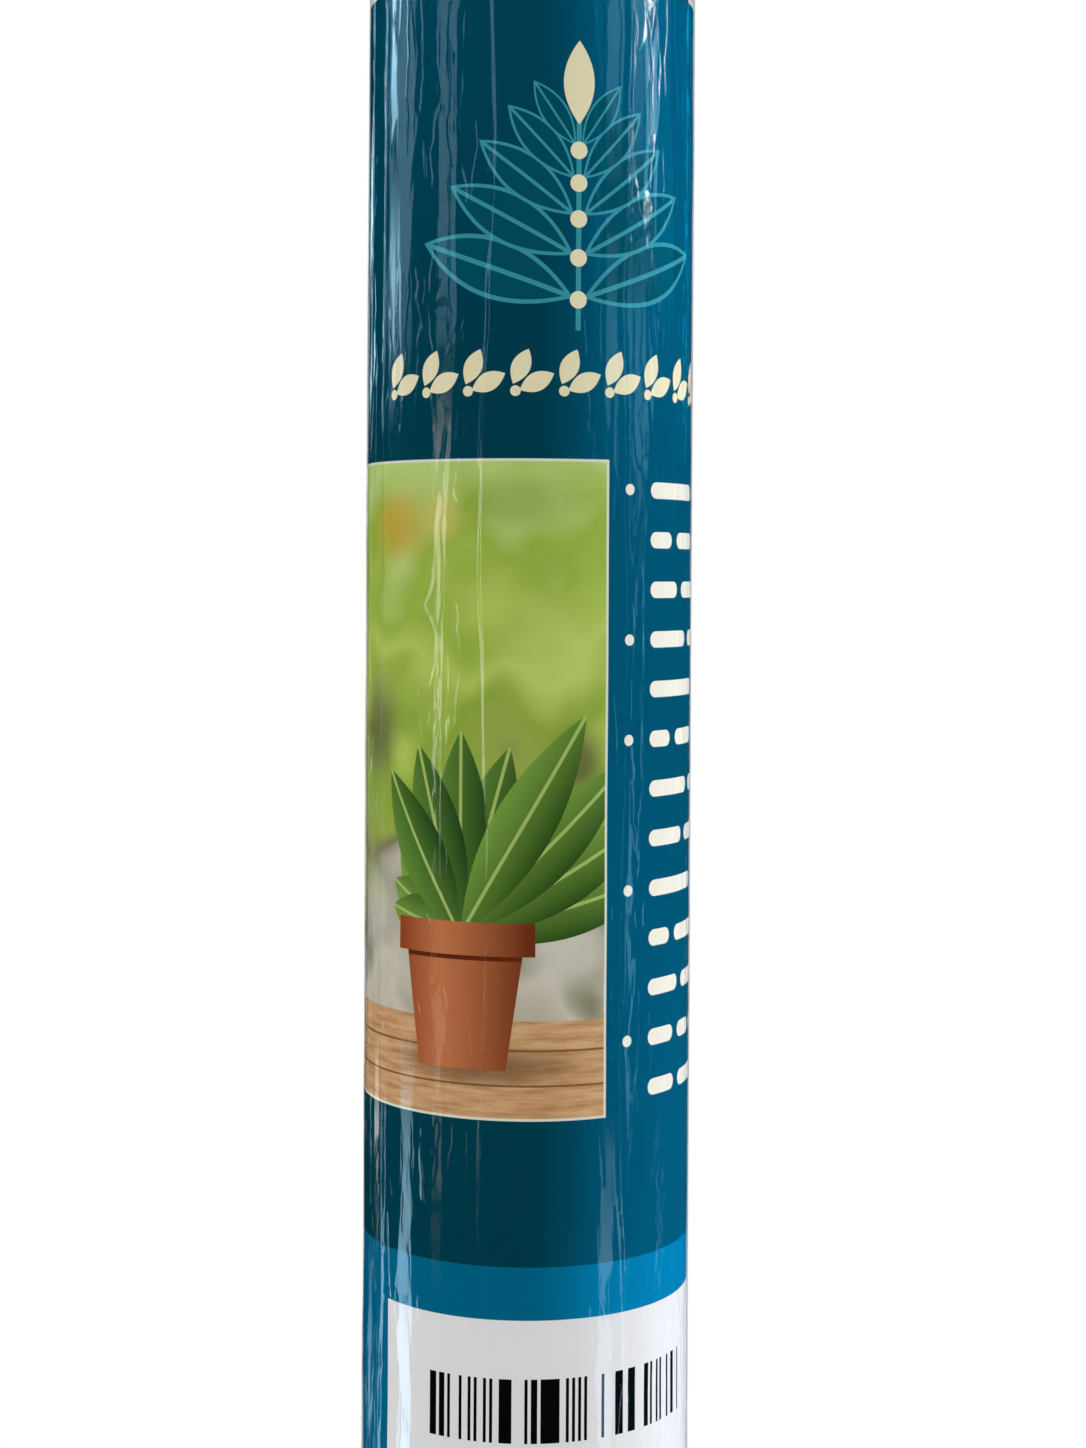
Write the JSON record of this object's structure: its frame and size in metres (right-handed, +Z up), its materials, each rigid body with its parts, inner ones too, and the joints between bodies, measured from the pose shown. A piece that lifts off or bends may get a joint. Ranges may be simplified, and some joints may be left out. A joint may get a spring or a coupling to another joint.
{
  "type": "moss pole",
  "caption": "Coir-wrapped climbing pole for pot plants: hollow core for stacking, pull-out wooden ground stake, and a printed paper label under clear film that slides off.",
  "frame": {"origin": "on the pole's axis at the soil line, where the coir ends and the bare stake begins", "axes": "+Z up along the pole, -Y the front of the label, +Y the mat's seam and the label's lap"},
  "size_m": [0.0462, 0.0468, 0.72],
  "materials": {
    "conduit_plastic": "extruded grey conduit, satin",
    "stake_wood": "pale hardwood dowel, sanded, uncoated",
    "nail_steel": "plain wire nail",
    "coir": "needled coconut fibre, rough and matt",
    "twine": "twisted jute twine",
    "label_paper": "coated paper, printed",
    "clear_film": "clear shrink film, glossy"
  },
  "bodies": {
    "pole": {"core_tube": "conduit_plastic", "stop_plug": "stake_wood", "plug_pin": "nail_steel", "coir_wrap": "coir", "binding_twine": "twine"},
    "stake": {"ground_stake": "stake_wood"},
    "wrapper": {"label_sleeve": "label_paper", "film_sleeve": "clear_film"}
  },
  "joints": [
    {"name": "stake_pull", "type": "slide", "parent": "pole", "child": "stake", "axis": [0, 0, -1], "range_m": [0, 0.082]},
    {"name": "wrapper_slide", "type": "slide", "parent": "pole", "child": "wrapper", "axis": [0, 0, 1], "range_m": [-0.17, 0.425]}
  ]
}
